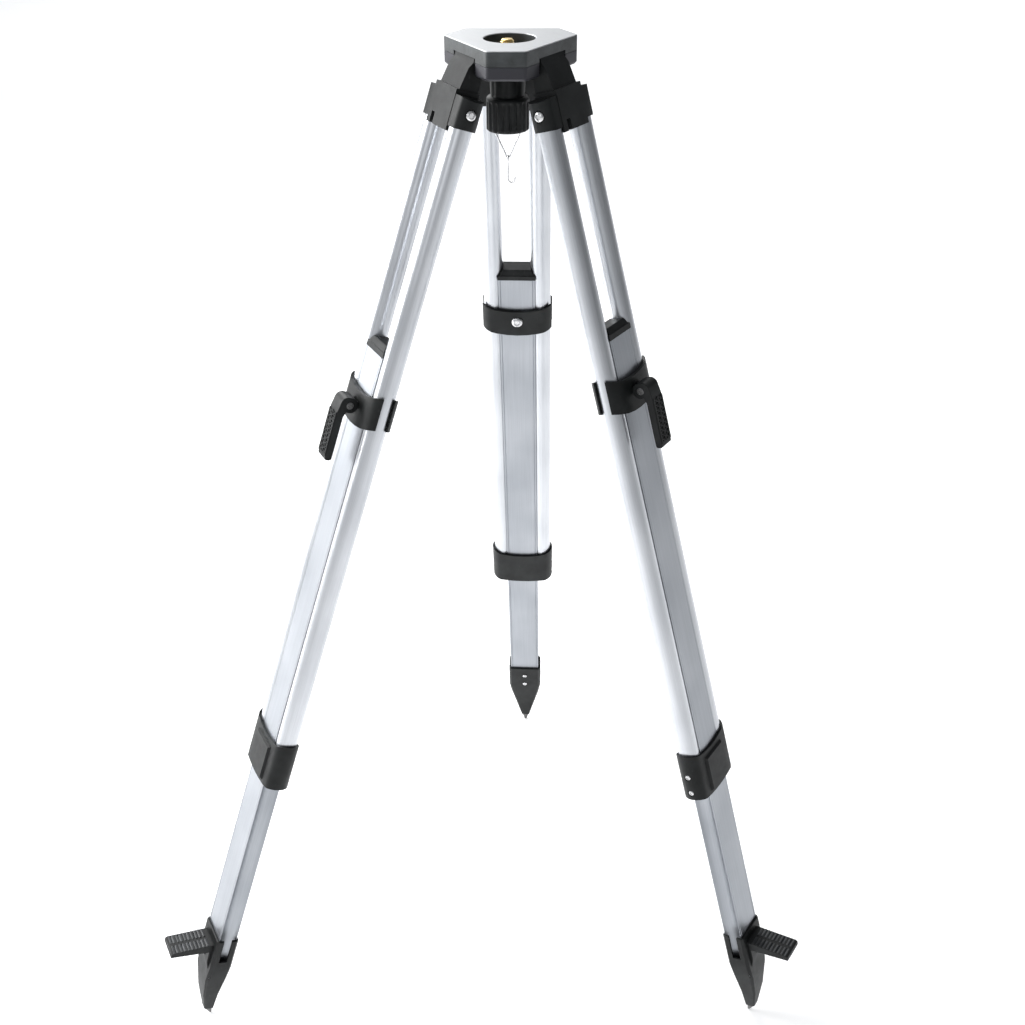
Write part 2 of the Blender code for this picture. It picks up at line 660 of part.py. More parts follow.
def lever(leg, slide, pivot, centre):
    """Cam lever: eccentric boss round the bolt's barrel, arch outward, grip hanging down the leg."""
    turn = empty(leg + "_lever_turn", slide, (pivot, 0, centre))
    boss_radius = 0.0100
    eccentric = -0.0010
    length = LEVER_LENGTH
    side = arc((eccentric, 0), boss_radius, 290, 100, 9)
    side += arc((0.0030, 0.0010), 0.0096, 80, 10, 3)
    side += [(0.0150, -0.010), (0.0158, -length + 0.006)]
    side += [(0.0140, -length), (0.0080, -length), (0.0058, -length + 0.004)]
    side += [(0.0050, -length + 0.020), (0.0052, -0.016)]
    body = prism(leg + "_clamp_lever", side, -LEVER_HALF_WIDTH, LEVER_HALF_WIDTH, "y",
                 slot="black_plastic", parent=turn)
    barrel = prism("barrel", circle((0, 0), 0.0051, 16), -0.05, 0.05, "y")
    slot = prism("slot", rectangle((-0.03, -0.0048), (0.03, 0.0048)), -0.0048, 0.03)
    ribs = []
    for i in range(LEVER_RIBS):
        z = -0.014 - i * 0.0062
        ribs.append(prism("rib", rectangle((0.0150, -0.0095), (0.02, 0.0095)), z - 0.0036, z))
    cut(body, barrel, slot, *ribs)


def foot(leg, slide):
    """Shoe with its tread pedal, steel tip and two screws; heights are above the tip's point."""
    ground = -CAP_TO_TIP
    x = LEG_OFFSET
    tip = LEG_OFFSET + TIP_OFFSET
    end = LEG_OFFSET + SHOE_END_OFFSET

    def section(height, centre, depth, width):
        corner = min(depth, width) * 0.22
        outline = [(centre - depth, -width + corner), (centre - depth + corner, -width),
                   (centre + depth - corner, -width), (centre + depth, -width + corner),
                   (centre + depth, width - corner), (centre + depth - corner, width),
                   (centre - depth + corner, width), (centre - depth, width - corner)]
        return [(u, v, ground + height) for u, v in outline]

    depth = PROFILE_HALF_DEPTH + SHOE_WALL
    width = PROFILE_HALF_WIDTH + SHOE_WALL
    shoe = loft(leg + "_foot_shoe", [
        section(SHOE_BOTTOM, end, 0.0072, 0.0072),
        section(SHOE_BOTTOM + 0.034, x - 0.0030, 0.0115, 0.0160),
        section(SHOE_TAPER - 0.020, x, depth - 0.0006, width - 0.0040),
        section(SHOE_TAPER + 0.004, x, depth, width),
        section(SHOE_TOP - 0.001, x, depth, width),
        section(SHOE_TOP, x, depth - 0.001, width - 0.001),
    ], slot="black_plastic", parent=slide)

    reach = LEG_OFFSET + PEDAL_REACH
    root = x + depth - 0.004
    top = ground + PEDAL_TOP
    slope = PEDAL_DROP / (reach - root - 0.006)
    plate = [(root, top + 0.002), (root + 0.004, top), (reach - 0.002, top - PEDAL_DROP + 0.001),
             (reach, top - PEDAL_DROP - 0.001), (reach, top - PEDAL_DROP - 0.006),
             (root + 0.010, top - 0.022), (root, top - 0.060)]
    pedal = prism("pedal", plate, -PEDAL_HALF_WIDTH, PEDAL_HALF_WIDTH, "y")
    join(shoe, pedal)

    cutters = [window(GAP, ground + PROFILE_ABOVE_TIP - GAP, ground + 0.3)]
    slot = rectangle((x - 0.0062, ground + SHOE_SLOT_LOW), (x + 0.0062, ground + 0.2))
    space = gusset_space(root, reach, top)
    for side in (-1, 1):
        cutters.append(prism("side_slot", slot, *sorted((side * 0.012, side * 0.06)), "y"))
        cutters.append(prism("gusset_space", space, *sorted((side * 0.0060, side * 0.03)), "y"))
    for i in range(TREAD_GROOVES):
        along = 0.012 + i * 0.0095
        u = root + 0.004 + along
        groove = rectangle((u, top - along * slope - 0.0014), (u + 0.0045, top + 0.02))
        for side in (-1, 1):
            cutters.append(prism("tread", groove, *sorted((side * 0.0030, side * 0.0165)), "y"))
    cutters += [prism("screw", circle((0, ground + z), 0.0022, 12), -0.05, x, "x") for z in FOOT_SCREWS]
    cutters.append(prism("tip_bore", circle((end, 0), 0.0045, 16), ground, ground + SHOE_BOTTOM + 0.020))
    cut(shoe, *cutters)

    sections = []
    for centre, radius, height in (
            (tip, TIP_RADIUS, 0.0), (tip, 0.0024, 0.0014), (end, 0.0066, SHOE_BOTTOM - 0.0015),
            (end, 0.0066, SHOE_BOTTOM - GAP), (end, 0.0042, SHOE_BOTTOM - GAP),
            (end, 0.0042, SHOE_BOTTOM + 0.018)):
        ring = circle((centre, 0), radius, 16)
        sections.append([(u, v, ground + height) for u, v in ring])
    loft(leg + "_foot_tip", sections, slot="zinc_steel", parent=slide)
    face = x - depth - GAP
    for z, tag in zip(FOOT_SCREWS, ("upper", "lower")):
        dome = dome_ends(0.0042, 0.0019)
        profile = [(r, face - h) for r, h in reversed(dome)] + [(0.0019, face), (0.0019, x - 0.004)]
        turned(f"{leg}_foot_screw_{tag}", profile, SMALL, "x", (0, ground + z),
               slot="zinc_steel", parent=slide)


def gusset_space(root, reach, top):
    """Space on each side of the web under the pedal."""
    return [(root + 0.0080, top - 0.075), (root + 0.0080, top - 0.0130),
            (reach + 0.001, top - PEDAL_DROP - 0.0062), (reach + 0.001, top - 0.075)]


def leg(name, azimuth, angle_deg, base):
    turn = math.radians(azimuth)
    angle = math.radians(angle_deg)
    hinge = (HINGE_RADIUS * math.cos(turn), HINGE_RADIUS * math.sin(turn), 0)
    splay = empty(name + "_splay", base, hinge, (0, -angle, turn))
    pin_frame = empty(name + "_pin", base, hinge, (0, 0, turn))
    half = PIN_LENGTH / 2
    turned(name + "_hinge_pin", [(PIN_RADIUS, -half), (PIN_RADIUS, half)], SMALL, "y",
           slot="zinc_steel", parent=pin_frame)
    leg_fitting(name, splay)
    fitting_bolt(name, splay)
    tubes(name, splay)
    lower_collar(name, splay)
    slide = inner_leg_frame(name, splay, angle)
    inner_profile(name, slide)
    end_cap(name, slide)
    clamp(name, slide)
    foot(name, slide)


def centre_over_origin(base):
    """Moves the tripod sideways so that its bounding box is centred over the origin."""
    bpy.context.view_layer.update()
    corners = [obj.matrix_world @ Vector(corner) for obj in bpy.context.scene.objects
               if obj.type in ("MESH", "CURVE") for corner in obj.bound_box]
    for axis in (0, 1):
        values = [corner[axis] for corner in corners]
        base.location[axis] -= (min(values) + max(values)) / 2


def main():
    clear_scene()
    base = empty("tripod_axis", location=(0, 0, HINGE_HEIGHT))
    head(base)
    fixing_screw(base)
    for name, (azimuth, angle) in LEGS.items():
        leg(name, azimuth, angle, base)
    centre_over_origin(base)


main()
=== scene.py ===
"""Looks of the surveyor's tripod: fine pieces, materials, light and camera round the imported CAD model.

Leg pieces are modelled in the leg's own frame: x outward from the leg's face, y along its hinge pin and
z up the leg, with the origin on the hinge pin. Lengths are metres.
"""

import json
import math

import bmesh
import bpy
from mathutils import Matrix, Vector


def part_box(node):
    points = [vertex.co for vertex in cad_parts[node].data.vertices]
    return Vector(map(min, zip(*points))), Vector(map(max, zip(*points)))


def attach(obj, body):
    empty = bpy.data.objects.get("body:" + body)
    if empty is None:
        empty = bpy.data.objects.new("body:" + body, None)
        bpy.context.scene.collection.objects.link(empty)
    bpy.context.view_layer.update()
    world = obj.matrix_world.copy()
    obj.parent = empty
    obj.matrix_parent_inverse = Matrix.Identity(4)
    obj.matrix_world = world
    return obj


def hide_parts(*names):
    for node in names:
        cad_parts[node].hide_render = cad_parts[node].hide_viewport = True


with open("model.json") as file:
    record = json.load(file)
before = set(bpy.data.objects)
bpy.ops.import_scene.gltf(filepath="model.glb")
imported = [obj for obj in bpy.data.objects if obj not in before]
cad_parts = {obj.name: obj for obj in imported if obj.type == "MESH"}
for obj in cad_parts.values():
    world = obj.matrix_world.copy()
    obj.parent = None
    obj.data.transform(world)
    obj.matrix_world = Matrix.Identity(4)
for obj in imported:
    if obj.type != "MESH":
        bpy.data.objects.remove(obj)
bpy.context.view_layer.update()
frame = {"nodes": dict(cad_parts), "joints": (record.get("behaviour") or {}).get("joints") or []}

LEGS = ("left", "right", "rear")
JOINTS = {joint["name"]: joint for joint in frame["joints"]}
TUBE_SIDES = 64
SCREW_SIDES = 36
KNOB_SIDES = 216
FLOOR_GLOW = 0.40

THREAD_RADIUS = 0.00794  # 5/8 inch 11 thread
THREAD_PITCH = 0.0254 / 11
THREAD_DEPTH = 0.00115
THREAD_ROWS = 10  # rings of vertices in each turn of the thread
KNOB_FLUTES = 18
TUBE_WALL = 0.0015
PROFILE_WALL = 0.0022
MILLED_DEPTH = 0.0012  # faces that lie within this of the head's top are milled bright
BAIL_WIRE = 0.0010
HOOK_WIRE = 0.0009
LATTICE_CELLS = 9
LATTICE_RISE = 0.0012
SHOE_WALL = 0.0034
PEDAL_TOP = 0.1500  # above the foot's tip, at the pedal's root
PEDAL_DROP = 0.010  # from the pedal's root to its end
TREAD_TEETH = 10
TREAD_MARGIN = 0.006  # plain stretch between the shoe and the first tooth


# Places, read from the frame


def leg_matrix(leg):
    pin = -Vector(JOINTS[leg + "_splay"]["axis"])
    up = -Vector(JOINTS[leg + "_extension"]["axis"])
    matrix = Matrix((pin.cross(up), pin, up)).transposed().to_4x4()
    matrix.translation = JOINTS[leg + "_splay"]["pos_m"]
    return matrix


def span(node, matrix):
    """Lowest and highest corner of a CAD node along the axes of matrix."""
    inverse = matrix.inverted()
    points = [inverse @ vertex.co for vertex in frame["nodes"][node].data.vertices]
    low = Vector([min(p[i] for p in points) for i in range(3)])
    high = Vector([max(p[i] for p in points) for i in range(3)])
    return low, high


# Materials


class Finish:
    """A Principled material and short ways to add procedural detail to it."""

    def __init__(self, name, roughness, metallic=0.0, **sockets):
        self.material = bpy.data.materials.new(name)
        self.material.use_nodes = True
        self.tree = self.material.node_tree
        self.shader = self.tree.nodes["Principled BSDF"]
        self.shader.inputs["Roughness"].default_value = roughness
        self.shader.inputs["Metallic"].default_value = metallic
        for socket, value in sockets.items():
            self.shader.inputs[socket.replace("_", " ")].default_value = value
        self.place = self.tree.nodes.new("ShaderNodeTexCoord").outputs["Object"]

    def noise(self, scale, detail=3.0, stretch=(1, 1, 1)):
        mapping = self.tree.nodes.new("ShaderNodeMapping")
        mapping.inputs["Scale"].default_value = stretch
        texture = self.tree.nodes.new("ShaderNodeTexNoise")
        texture.inputs["Scale"].default_value = scale
        texture.inputs["Detail"].default_value = detail
        self.tree.links.new(self.place, mapping.inputs["Vector"])
        self.tree.links.new(mapping.outputs["Vector"], texture.inputs["Vector"])
        return texture.outputs["Fac"]

    def ramp(self, value, stops):
        node = self.tree.nodes.new("ShaderNodeValToRGB")
        self.tree.links.new(value, node.inputs["Fac"])
        points = node.color_ramp.elements
        while len(points) < len(stops):
            points.new(0.5)
        for point, (position, colour) in zip(points, stops):
            point.position = position
            point.color = (*colour, 1.0)
        return node.outputs["Color"]

    def mix(self, factor, first, second, kind="MIX"):
        node = self.tree.nodes.new("ShaderNodeMix")
        node.data_type = "RGBA"
        node.blend_type = kind
        for socket, value in ((0, factor), (6, first), (7, second)):
            if isinstance(value, (int, float, tuple)):
                node.inputs[socket].default_value = value
            else:
                self.tree.links.new(value, node.inputs[socket])
        return node.outputs[2]

    def colour(self, value):
        self.tree.links.new(value, self.shader.inputs["Base Color"])

    def roughness(self, value, low, high):
        node = self.tree.nodes.new("ShaderNodeMapRange")
        node.inputs["To Min"].default_value = low
        node.inputs["To Max"].default_value = high
        self.tree.links.new(value, node.inputs["Value"])
        self.tree.links.new(node.outputs["Result"], self.shader.inputs["Roughness"])

    def bump(self, *heights):
        """heights are (value, strength, distance) triples, applied one over another."""
        normal = None
        for value, strength, distance in heights:
            node = self.tree.nodes.new("ShaderNodeBump")
            node.inputs["Strength"].default_value = strength
            node.inputs["Distance"].default_value = distance
            self.tree.links.new(value, node.inputs["Height"])
            if normal:
                self.tree.links.new(normal, node.inputs["Normal"])
            normal = node.outputs["Normal"]
        self.tree.links.new(normal, self.shader.inputs["Normal"])


def drawn_aluminium(name, dark, light, along=(1, 1, 0.012), roughness=(0.26, 0.40)):
    """Satin anodised metal with fine drawing lines and faint larger clouding."""
    finish = Finish(name, roughness[0], 1.0)
    lines = finish.noise(900, 3, along)
    clouds = finish.noise(9, 2)
    tone = finish.ramp(clouds, [(0.35, dark), (0.65, light)])
    streak = finish.ramp(lines, [(0.30, (0.90, 0.90, 0.90)), (0.70, (1.0, 1.0, 1.0))])
    finish.colour(finish.mix(1.0, tone, streak, "MULTIPLY"))
    finish.roughness(finish.noise(500, 2, along), *roughness)
    finish.bump((lines, 0.05, 0.00004))
    return finish.material


def moulded_plastic(name, dark, light, worn, roughness=(0.40, 0.56)):
    """Black moulded plastic with an eroded grain, dusty clouds and sparse scuffs; lighter colours passed in,
    as for the tread strips, also carry a painted sheen.
    """
    finish = Finish(name, roughness[0], 0.0, Specular_IOR_Level=0.26)
    grain = finish.noise(2600, 2)
    clouds = finish.ramp(finish.noise(34, 4), [(0.38, dark), (0.66, light)])
    scuffs = finish.ramp(finish.noise(260, 6, (1, 1, 0.25)), [(0.68, (0, 0, 0)), (0.76, (1, 1, 1))])
    rubbed = finish.mix(1.0, scuffs, (0.35, 0.35, 0.35, 1), "MULTIPLY")
    finish.colour(finish.mix(rubbed, clouds, (*worn, 1.0)))
    finish.roughness(finish.noise(120, 4), *roughness)
    finish.bump((grain, 0.16, 0.00008), (finish.noise(300, 3), 0.05, 0.0003))
    return finish.material


def painted_casting(name, dark, light):
    """Semi-gloss paint over a cast skin: fine pits, orange peel and lighter rubbed specks."""
    finish = Finish(name, 0.42, 0.0)
    pits = finish.noise(1500, 4)
    tone = finish.ramp(finish.noise(60, 4), [(0.32, dark), (0.70, light)])
    specks = finish.ramp(finish.noise(1900, 2), [(0.62, (0, 0, 0)), (0.72, (1, 1, 1))])
    rubbed = finish.mix(1.0, specks, (0.28, 0.28, 0.28, 1), "MULTIPLY")
    finish.colour(finish.mix(rubbed, tone, (0.30, 0.31, 0.33, 1.0)))
    finish.roughness(finish.noise(220, 3), 0.34, 0.55)
    finish.bump((pits, 0.30, 0.00012), (finish.noise(420, 2), 0.10, 0.0003))
    return finish.material


def milled_face(name):
    """Bright face-milled aluminium: overlapping arcs of tool marks."""
    finish = Finish(name, 0.42, 0.55)
    mapping = finish.tree.nodes.new("ShaderNodeMapping")
    mapping.inputs["Location"].default_value = (0.06, 0.9, 0)
    wave = finish.tree.nodes.new("ShaderNodeTexWave")
    wave.wave_type = "RINGS"
    wave.rings_direction = "Z"
    wave.inputs["Scale"].default_value = 210
    wave.inputs["Distortion"].default_value = 1.2
    wave.inputs["Detail"].default_value = 2
    finish.tree.links.new(finish.place, mapping.inputs["Vector"])
    finish.tree.links.new(mapping.outputs["Vector"], wave.inputs["Vector"])
    marks = wave.outputs["Fac"]
    finish.colour(finish.ramp(marks, [(0.0, (0.47, 0.48, 0.49)), (1.0, (0.56, 0.57, 0.58))]))
    finish.roughness(finish.noise(90, 3), 0.38, 0.50)
    finish.bump((marks, 0.05, 0.00005))
    return finish.material


def turned_metal(name, dark, light, roughness, tarnish):
    """Small plated or turned metal part with fine marks and a little tarnish."""
    finish = Finish(name, roughness[0], 1.0)
    tone = finish.ramp(finish.noise(700, 3), [(0.35, dark), (0.65, light)])
    stain = finish.ramp(finish.noise(180, 5), [(0.58, (0, 0, 0)), (0.78, (0.5, 0.5, 0.5))])
    finish.colour(finish.mix(stain, tone, (*tarnish, 1.0)))
    finish.roughness(finish.noise(420, 3), *roughness)
    finish.bump((finish.noise(1600, 2), 0.08, 0.00005))
    return finish.material


def pale_floor():
    finish = Finish("pale_floor", 0.85)
    finish.colour(finish.ramp(finish.noise(3, 2), [(0.3, (0.86, 0.86, 0.87)), (0.7, (0.90, 0.90, 0.90))]))
    finish.shader.inputs["Emission Color"].default_value = (1.0, 1.0, 1.0, 1.0)
    finish.shader.inputs["Emission Strength"].default_value = FLOOR_GLOW
    return finish.material


FINISHES = {
    "anodised_aluminium": drawn_aluminium("satin_anodised", (0.63, 0.65, 0.68), (0.72, 0.74, 0.77)),
    "inner_aluminium": drawn_aluminium("drawn_profile", (0.38, 0.40, 0.43), (0.45, 0.47, 0.50),
                                       roughness=(0.34, 0.48)),
    "black_plastic": moulded_plastic("black_moulding", (0.006, 0.007, 0.007), (0.014, 0.016, 0.016),
                                     (0.07, 0.07, 0.07)),
    # The tread strips get a lighter tone and lighter scuffs than the black moulding: partly dust, partly a
    # painted sheen standing in for the highlights on their tops.
    "tread_plastic": moulded_plastic("tread_dust_and_painted_sheen", (0.030, 0.032, 0.034), (0.066, 0.070, 0.074),
                                     (0.20, 0.21, 0.22), (0.32, 0.46)),
    "painted_casting": painted_casting("head_paint", (0.026, 0.030, 0.031), (0.056, 0.063, 0.065)),
    "machined_aluminium": milled_face("milled_top"),
    "zinc_steel": turned_metal("zinc_plate", (0.66, 0.66, 0.67), (0.80, 0.80, 0.80), (0.18, 0.34),
                               (0.42, 0.41, 0.39)),
    "worn_steel": turned_metal("worn_steel", (0.10, 0.10, 0.10), (0.20, 0.20, 0.20), (0.34, 0.52),
                               (0.12, 0.09, 0.07)),
    "brass": turned_metal("turned_brass", (0.70, 0.50, 0.19), (0.86, 0.66, 0.30), (0.22, 0.36),
                          (0.36, 0.24, 0.10)),
}


# Mesh building


def arc(centre, radius, start, end, steps):
    """Points on an arc from start to end, in degrees, both ends included."""
    angles = [math.radians(start + (end - start) * i / steps) for i in range(steps + 1)]
    return [(centre[0] + radius * math.cos(a), centre[1] + radius * math.sin(a)) for a in angles]


def finished(name, bm, matrix, body, slot, finish=None, replaces=(), sharp=32, bevel=0.0):
    """Turns the bmesh into a smooth-shaded piece that rides on body."""
    bmesh.ops.remove_doubles(bm, verts=bm.verts, dist=1e-7)
    bmesh.ops.recalc_face_normals(bm, faces=bm.faces)
    mesh = bpy.data.meshes.new(name)
    bm.to_mesh(mesh)
    bm.free()
    mesh.shade_smooth()
    mesh.set_sharp_from_angle(angle=math.radians(sharp))
    mesh.materials.append(FINISHES[finish or slot])
    obj = bpy.data.objects.new(name, mesh)
    bpy.context.scene.collection.objects.link(obj)
    obj.matrix_world = matrix
    if bevel:
        soften(obj, bevel)
    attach(obj, body)
    if replaces:
        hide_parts(*replaces)
    return obj


def soften(obj, width, weld=False):
    """Rounds the sharp edges with modifiers, which leaves the mesh itself as it is."""
    if weld:
        obj.modifiers.new("weld", "WELD").merge_threshold = 0.000002
    edge = obj.modifiers.new("edge", "BEVEL")
    edge.width = width
    edge.segments = 2
    edge.limit_method = "ANGLE"
    edge.angle_limit = math.radians(38)
    edge.use_clamp_overlap = weld
    shade = obj.modifiers.new("shade", "WEIGHTED_NORMAL")
    shade.keep_sharp = False


def rings_to_bmesh(bm, rings, loop=False):
    """Skins rings of vertices, closing the ends unless the last ring joins the first."""
    pairs = list(zip(rings, rings[1:])) + ([(rings[-1], rings[0])] if loop else [])
    for lower, upper in pairs:
        count = max(len(lower), len(upper))
        for i in range(count):
            j = (i + 1) % count
            corners = []
            for ring, k in ((lower, i), (lower, j), (upper, j), (upper, i)):
                vert = ring[k % len(ring)]
                if vert not in corners:
                    corners.append(vert)
            bm.faces.new(corners)
    if not loop:
        for ring in (rings[0], rings[-1]):
            if len(ring) > 1:
                bm.faces.new(ring)


def lathe(profile, steps, axis="z", centre=(0.0, 0.0), bm=None, loop=False):
    """Turned shape through (radius, height) points; a radius may be a function of the angle in radians."""
    bm = bm or bmesh.new()
    rings = []
    for radius, height in profile:
        if radius == 0.0:
            points = [(0.0, 0.0)]
        else:
            points = []
            for i in range(steps):
                angle = 2 * math.pi * i / steps
                r = radius(angle) if callable(radius) else radius
                points.append((r * math.cos(angle), r * math.sin(angle)))
        ring = []
        for u, v in points:
            u, v = u + centre[0], v + centre[1]
            place = {"z": (u, v, height), "y": (u, height, v), "x": (height, u, v)}[axis]
            ring.append(bm.verts.new(place))
        rings.append(ring)
    rings_to_bmesh(bm, rings, loop)
    return bm


def prism(outline, low, high, axis="z", bm=None, hole=None):
    """Extruded outline between two heights, with an optional hole right through."""
    bm = bm or bmesh.new()
    loops = [outline] + ([hole] if hole else [])
    levels = {low: [], high: []}
    for loop in loops:
        rings = []
        for height in (low, high):
            ring = []
            for u, v in loop:
                place = {"z": (u, v, height), "y": (u, height, v), "x": (height, u, v)}[axis]
                ring.append(bm.verts.new(place))
            rings.append(ring)
            levels[height].append(ring)
        count = len(loop)
        for i in range(count):
            j = (i + 1) % count
            bm.faces.new((rings[0][i], rings[0][j], rings[1][j], rings[1][i]))
    for rings in levels.values():
        if len(rings) == 1:
            bm.faces.new(rings[0])
            continue
        edges = []
        for ring in rings:
            for i, vert in enumerate(ring):
                edges.append(bm.edges.get((vert, ring[(i + 1) % len(ring)])))
        bmesh.ops.triangle_fill(bm, edges=edges, use_beauty=True)
    return bm


def hexagon(apothem):
    """Radius of a hexagon at an angle."""
    return lambda angle: apothem / math.cos((angle + math.pi / 6) % (math.pi / 3) - math.pi / 6)


def dome_head(radius, height, seat, outward, socket):
    """(radius, height) points of a domed screw head with a hexagon socket, from its crown to its seat."""
    points = [(0.0, seat + outward * height * 0.35), (hexagon(socket), seat + outward * height * 0.35)]
    start = math.degrees(math.acos(socket * 1.35 / radius))
    points += [(r, seat + outward * h) for r, h in
               [(radius * math.cos(math.radians(a)), height * math.sin(math.radians(a)))
                for a in [start * (1 - i / 6) for i in range(7)]]]
    return points


# Head and fixing screw


def head():
    plate = frame["nodes"]["head_plate"]
    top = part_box("head_plate")[1].z
    plate.data.materials.clear()
    plate.data.materials.append(FINISHES["machined_aluminium"])
    plate.data.materials.append(FINISHES["painted_casting"])
    for face in plate.data.polygons:
        at_top = min(plate.data.vertices[i].co.z for i in face.vertices) > top - MILLED_DEPTH
        face.material_index = 0 if at_top else 1
    for name in ("head_plate", "counter_plate"):
        own_finish(name, 0.0005)


def own_finish(name, width, finish=None):
    """Gives a CAD node its finish and soft edges."""
    node = frame["nodes"][name]
    if finish:
        node.data.materials.clear()
        node.data.materials.append(FINISHES[finish])
    normals = node.data.attributes.get("custom_normal")
    if normals:
        node.data.attributes.remove(normals)
    node.data.shade_smooth()
    soften(node, width, weld=True)


def fixing_screw():
    at = Matrix.Translation(JOINTS["screw_turn"]["pos_m"])
    low, high = span("fixing_screw", at)
    parting = high.z - 0.0160  # the flange sits on the lower plate
    stud_low = parting + 0.0050
    count = int((high.z - stud_low - 0.0006) / THREAD_PITCH * THREAD_ROWS)
    profile = [(0.0, low.z), (0.0072, low.z), (0.0072, parting - 0.0185), (0.0080, parting - 0.018),
               (0.0080, parting), (0.0215, parting), (0.0219, parting + 0.0006), (0.0219, parting + 0.0026),
               (0.0214, parting + 0.0030), (0.0112, parting + 0.0030), (0.0108, parting + 0.0047),
               (0.0102, stud_low)]
    for i in range(count + 1):
        height = stud_low + i * THREAD_PITCH / THREAD_ROWS

        def thread(angle, height=height, i=i):
            phase = (height / THREAD_PITCH - angle / (2 * math.pi)) % 1.0
            run_in = min(1.0, (count - i) / THREAD_ROWS)
            cut = THREAD_DEPTH * max(0.0, 1 - abs(2 * phase - 1) * 1.35)
            return THREAD_RADIUS - cut - (1 - run_in) * THREAD_DEPTH * 0.8
        profile.append((thread, height))
    profile += [(THREAD_RADIUS - 0.0022, high.z), (0.0, high.z)]
    bm = lathe(profile, 56)
    finished("fixing_screw_threaded", bm, at, "screw", "brass", replaces=["fixing_screw"], sharp=40)


def knob():
    at = Matrix.Translation(JOINTS["screw_turn"]["pos_m"])
    low, high = span("fixing_knob", at)
    grip_radius = high.y
    top, bottom = high.z, low.z
    grip_top = top - 0.0317
    neck = 0.0212

    def fluted(radius, share=1.0):
        def at_angle(angle):
            wave = 0.5 + 0.5 * math.cos(KNOB_FLUTES * angle)
            return radius - share * 0.0021 * wave ** 2.4
        return at_angle

    def ribbed(radius):
        def at_angle(angle):
            wave = 0.5 + 0.5 * math.cos(8 * angle + 0.6)
            return radius - 0.0012 * wave ** 3
        return at_angle

    rim = grip_radius - 0.0004
    inner = 0.0190
    profile = [(0.0086, top), (neck - 0.0022, top), (neck - 0.0004, top - 0.0012), (neck, top - 0.0030),
               (ribbed(neck), top - 0.0060), (ribbed(neck - 0.0007), grip_top + 0.0035),
               (neck - 0.0009, grip_top + 0.0010), (rim - 0.0035, grip_top + 0.0002),
               (rim - 0.0014, grip_top - 0.0006), (rim - 0.0003, grip_top - 0.0020),
               (rim, grip_top - 0.0035), (fluted(rim, 0.5), grip_top - 0.0052),
               (fluted(rim), grip_top - 0.0075), (fluted(rim), bottom + 0.0050),
               (fluted(rim, 0.9), bottom + 0.0020), (fluted(rim - 0.0012, 0.7), bottom + 0.0006),
               (rim - 0.0030, bottom), (inner + 0.0006, bottom), (inner, bottom + 0.0008),
               (inner, bottom + 0.0080), (0.0095, bottom + 0.0080), (0.0086, bottom + 0.0090)]
    bm = lathe(profile, KNOB_SIDES, loop=True)
    finished("fixing_knob_fluted", bm, at, "screw", "black_plastic", replaces=["fixing_knob"], sharp=44)


def wire(name, points, radius, joint, body, replaces):
    at = Matrix.Translation(JOINTS[joint]["pos_m"])
    curve = bpy.data.curves.new(name, "CURVE")
    curve.dimensions = "3D"
    curve.bevel_depth = radius
    curve.bevel_resolution = 5
    curve.use_fill_caps = True
    curve.materials.append(FINISHES["zinc_steel"])
    spline = curve.splines.new("POLY")
    spline.points.add(len(points) - 1)
    for target, point in zip(spline.points, points):
        target.co = (*point, 1.0)
    spline.use_smooth = True
    obj = bpy.data.objects.new(name, curve)
    bpy.context.scene.collection.objects.link(obj)
    obj.matrix_world = at
    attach(obj, body)
    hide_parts(replaces)


def smooth_route(points, rounds=3):
    """Chaikin corner cutting that keeps both ends."""
    for _ in range(rounds):
        cut = [points[0]]
        for a, b in zip(points, points[1:]):
            cut.append(tuple(0.75 * p + 0.25 * q for p, q in zip(a, b)))
            cut.append(tuple(0.25 * p + 0.75 * q for p, q in zip(a, b)))
        points = cut + [points[-1]]
    return points


def plumb_wires():
    bail_to_eye = Vector(JOINTS["hook_swing"]["pos_m"]) - Vector(JOINTS["bail_swing"]["pos_m"])
    bottom = bail_to_eye.z
    side = [(-0.0212, 0, 0), (-0.0184, 0, 0), (-0.0172, 0, -0.0006), (-0.0166, 0, -0.0022)]
    side += [(-0.0142, 0, -0.0082), (-0.0090, 0, -0.0196), (-0.0042, 0, -0.0297)]
    bend = 0.0028
    side += [(u, 0, v) for u, v in arc((0, bottom + bend), bend, 180, 262, 6)]
    mirrored = [(-x, y, z) for x, y, z in reversed(side)]
    wire("plumb_bail_wire", smooth_route(side + mirrored, 2), BAIL_WIRE, "bail_swing", "bail", "plumb_bail")

    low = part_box("plumb_hook")[0].z - JOINTS["hook_swing"]["pos_m"][2] + HOOK_WIRE
    eye = 0.0032
    eye_centre = 0.0021 - eye
    route = [(0, u, v) for u, v in arc((0, eye_centre), eye, -130, 180, 24)]
    route += [(0, -eye * 0.9, eye_centre - 0.0022), (0, -0.0008, eye_centre - 0.0052)]
    route += [(0, 0, eye_centre - 0.0080)]
    bend = 0.0040
    route += [(0, 0, low + bend + 0.004)]
    route += [(u, 0, v) for u, v in arc((bend, low + bend), bend, 180, 360, 16)]
    route += [(2 * bend + 0.0005, 0, low + bend + 0.003)]
    wire("plumb_hook_wire", smooth_route(route, 1), HOOK_WIRE, "hook_swing", "hook", "plumb_hook")


# Legs


